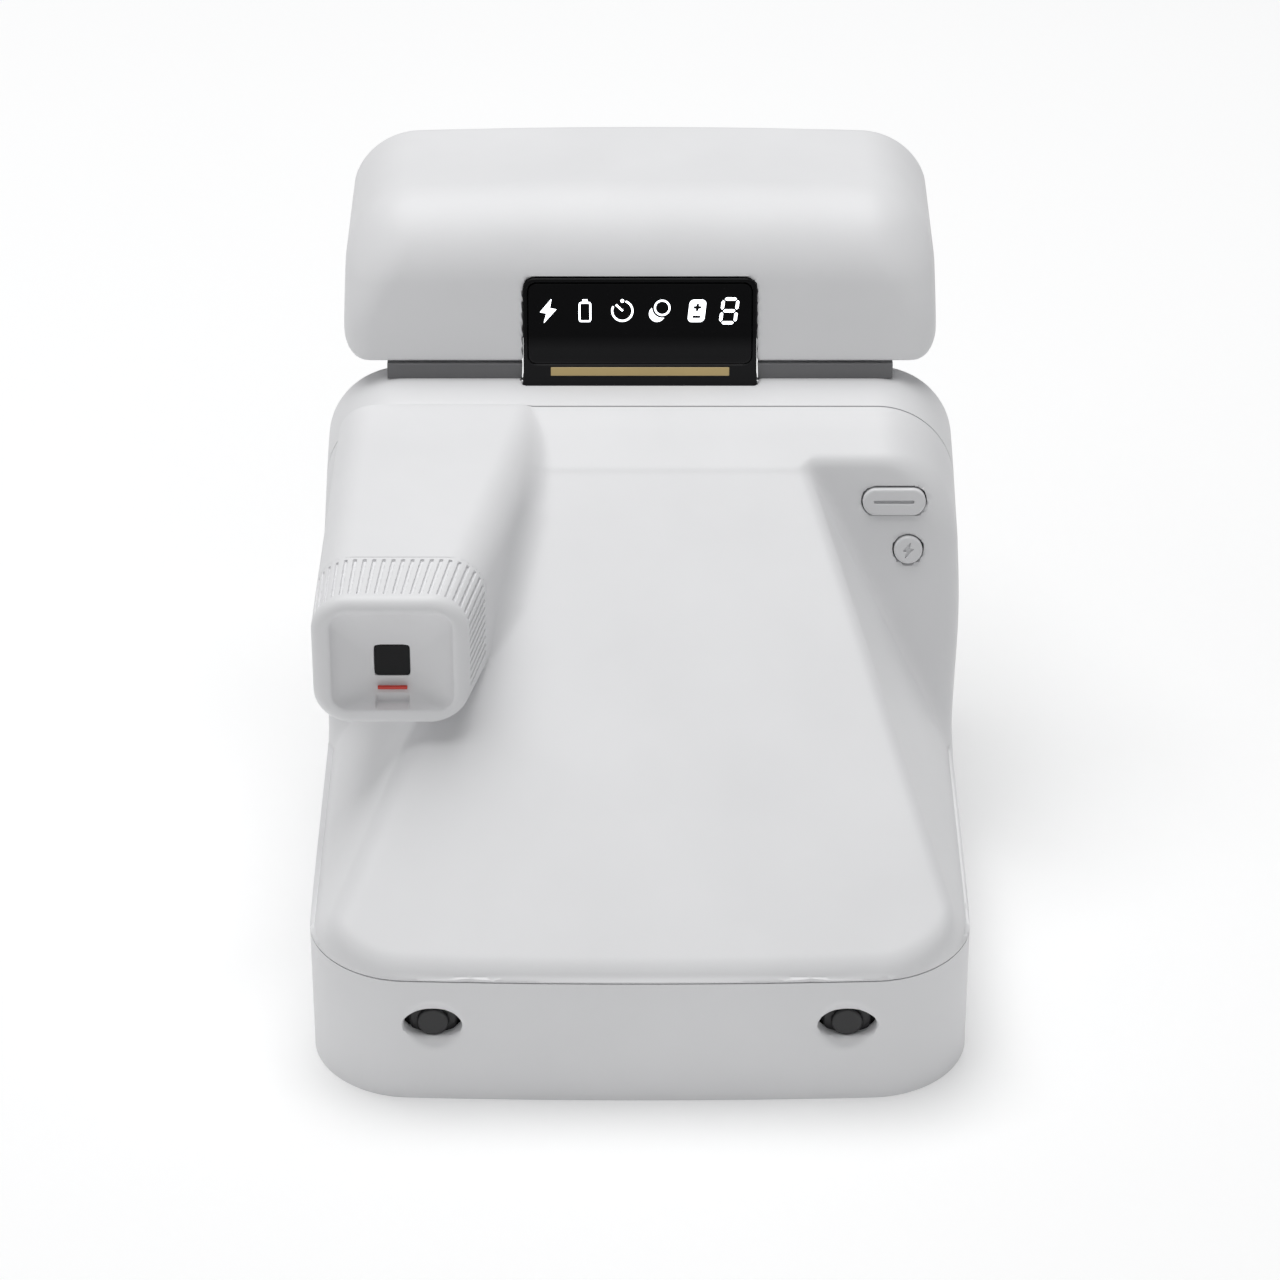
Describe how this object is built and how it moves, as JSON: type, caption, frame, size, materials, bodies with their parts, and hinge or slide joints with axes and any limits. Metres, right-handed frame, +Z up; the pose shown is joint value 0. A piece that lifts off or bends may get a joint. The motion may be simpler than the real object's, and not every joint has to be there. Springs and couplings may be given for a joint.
{
  "type": "instant camera",
  "caption": "Instant camera for integral film with a flip-up lid that carries the flash, a tunnel viewfinder, a sloping rear hump and a drop-down film door.",
  "frame": {"origin": "centre of the rectangular base, on the surface that the camera stands on", "axes": "+Y forward to the subject, along the longest side with the lid open; +Z up; +X to the right seen from behind"},
  "size_m": [0.1117, 0.1427, 0.1119],
  "materials": {
    "white_shell": "fine matt moulded",
    "button_grey": "fine matt moulded",
    "fascia_grey": "matt moulded",
    "black_plastic": "matt moulded",
    "seal_grey": "soft moulded",
    "black_gloss": "satin",
    "display_glass": "polished",
    "gear_white": "natural acetal",
    "gear_brass": "turned",
    "steel": "brushed",
    "blade_black": "matt",
    "motor_can": "plated",
    "mirror": "front silvered",
    "clear_glass": "polished",
    "circuit_board": "solder resist",
    "battery_wrap": "foil",
    "capacitor_wrap": "sleeve",
    "sensor_gold": "etched foil",
    "shutter_red": "satin",
    "stripe": "printed",
    "flash_lens": "ribbed",
    "chrome_reflector": "bright"
  },
  "bodies": {
    "camera_body": {"base_tray": "white_shell", "rear_housing": "white_shell", "front_housing": "white_shell", "eyecup": "white_shell", "front_fascia": "fascia_grey", "strap_studs": "black_plastic", "hinge_seals": "seal_grey", "film_chassis": "black_plastic", "dark_box": "black_plastic", "shutter_plate": "black_plastic", "lens_barrel": "black_plastic", "finder_tube": "black_plastic", "hinge_pin": "steel", "door_pins": "steel", "case_screws": "steel", "gear_plate": "steel", "pack_contacts": "gear_brass", "film_motor": "motor_can", "focus_motor": "motor_can", "mirror": "mirror", "front_glass": "clear_glass", "finder_window": "clear_glass", "eyepiece_lens": "display_glass", "main_board": "circuit_board", "button_board": "circuit_board", "battery": "battery_wrap", "flash_capacitor": "capacitor_wrap", "charging_port": "steel", "range_sensors": "sensor_gold"},
    "flip_lid": {"lid_shell": "white_shell", "lid_liner": "fascia_grey", "display_window": "display_glass", "display_board": "circuit_board", "hinge_cover": "black_gloss", "colour_stripe": "stripe", "flash_window": "flash_lens", "flash_reflector": "chrome_reflector", "flash_tube": "clear_glass"},
    "door": {"film_door": "white_shell", "roller_frame": "steel"},
    "upper_roller": {"upper_roller": "steel"},
    "lower_roller": {"lower_roller": "steel"},
    "idler_gear_front": {"idler_gear_front": "gear_white"},
    "idler_gear_rear": {"idler_gear_rear": "gear_white"},
    "motor_pinion": {"motor_pinion": "gear_brass"},
    "lens_disc": {"lens_disc": "black_plastic", "lens_elements": "clear_glass"},
    "focus_pinion": {"focus_pinion": "gear_white"},
    "shutter_blade_left": {"shutter_blade_left": "blade_black"},
    "shutter_blade_right": {"shutter_blade_right": "blade_black"},
    "power_button": {"power_button": "button_grey"},
    "flash_button": {"flash_button": "button_grey"},
    "shutter_button": {"shutter_button": "shutter_red"},
    "pick_arm": {"pick_arm": "steel"},
    "door_latch": {"door_latch": "button_grey"}
  },
  "joints": [
    {"name": "lid_hinge", "type": "hinge", "parent": "camera_body", "child": "flip_lid", "pos_m": [0, 0.0353, 0.0815], "axis": [-1, 0, 0], "range_deg": [0, 90]},
    {"name": "door_hinge", "type": "hinge", "parent": "camera_body", "child": "door", "pos_m": [0, 0.0462, 0.0019], "axis": [-1, 0, 0], "range_deg": [0, 90]},
    {"name": "door_latch_slide", "type": "slide", "parent": "camera_body", "child": "door_latch", "axis": [0, 0, 1], "range_m": [0, 0.0024], "stiffness_N_per_m": 120, "springref_m": -0.001},
    {"name": "upper_roller_turn", "type": "hinge", "parent": "door", "child": "upper_roller", "pos_m": [0, 0.052, 0.0251], "axis": [1, 0, 0], "continuous": true},
    {"name": "lower_roller_turn", "type": "hinge", "parent": "door", "child": "lower_roller", "pos_m": [0, 0.052, 0.0171], "axis": [1, 0, 0], "continuous": true},
    {"name": "front_idler_turn", "type": "hinge", "parent": "camera_body", "child": "idler_gear_front", "pos_m": [-0.0504, 0.04319, 0.02902], "axis": [1, 0, 0], "continuous": true},
    {"name": "rear_idler_turn", "type": "hinge", "parent": "camera_body", "child": "idler_gear_rear", "pos_m": [-0.0504, 0.03206, 0.03059], "axis": [1, 0, 0], "continuous": true},
    {"name": "film_motor_turn", "type": "hinge", "parent": "camera_body", "child": "motor_pinion", "pos_m": [-0.0504, 0.02311, 0.03596], "axis": [1, 0, 0], "continuous": true},
    {"name": "lens_disc_turn", "type": "hinge", "parent": "camera_body", "child": "lens_disc", "pos_m": [0.005, 0.0333, 0.055], "axis": [0, 1, 0], "continuous": true},
    {"name": "focus_pinion_turn", "type": "hinge", "parent": "camera_body", "child": "focus_pinion", "pos_m": [0.01852, 0.0333, 0.05138], "axis": [0, 1, 0], "continuous": true},
    {"name": "shutter_left_slide", "type": "slide", "parent": "camera_body", "child": "shutter_blade_left", "axis": [-1, 0, 0], "range_m": [0, 0.0055], "stiffness_N_per_m": 15},
    {"name": "shutter_right_slide", "type": "slide", "parent": "camera_body", "child": "shutter_blade_right", "axis": [1, 0, 0], "range_m": [0, 0.0055], "stiffness_N_per_m": 15},
    {"name": "power_button_press", "type": "slide", "parent": "camera_body", "child": "power_button", "axis": [0, 0.9744, -0.225], "range_m": [0, 0.0008], "stiffness_N_per_m": 500},
    {"name": "flash_button_press", "type": "slide", "parent": "camera_body", "child": "flash_button", "axis": [0, 0.9744, -0.225], "range_m": [0, 0.0008], "stiffness_N_per_m": 500},
    {"name": "shutter_button_press", "type": "slide", "parent": "camera_body", "child": "shutter_button", "axis": [0, -1, 0], "range_m": [0, 0.001], "stiffness_N_per_m": 500},
    {"name": "pick_arm_slide", "type": "slide", "parent": "camera_body", "child": "pick_arm", "axis": [0, 1, 0], "range_m": [0, 0.011], "stiffness_N_per_m": 20}
  ],
  "couplings": [
    {"joint": "lower_roller_turn", "follows": "upper_roller_turn", "ratio": -1},
    {"joint": "front_idler_turn", "follows": "upper_roller_turn", "ratio": -0.71429},
    {"joint": "rear_idler_turn", "follows": "upper_roller_turn", "ratio": 0.71429},
    {"joint": "film_motor_turn", "follows": "upper_roller_turn", "ratio": -0.83333},
    {"joint": "focus_pinion_turn", "follows": "lens_disc_turn", "ratio": -4.6},
    {"joint": "shutter_right_slide", "follows": "shutter_left_slide", "ratio": 1}
  ]
}
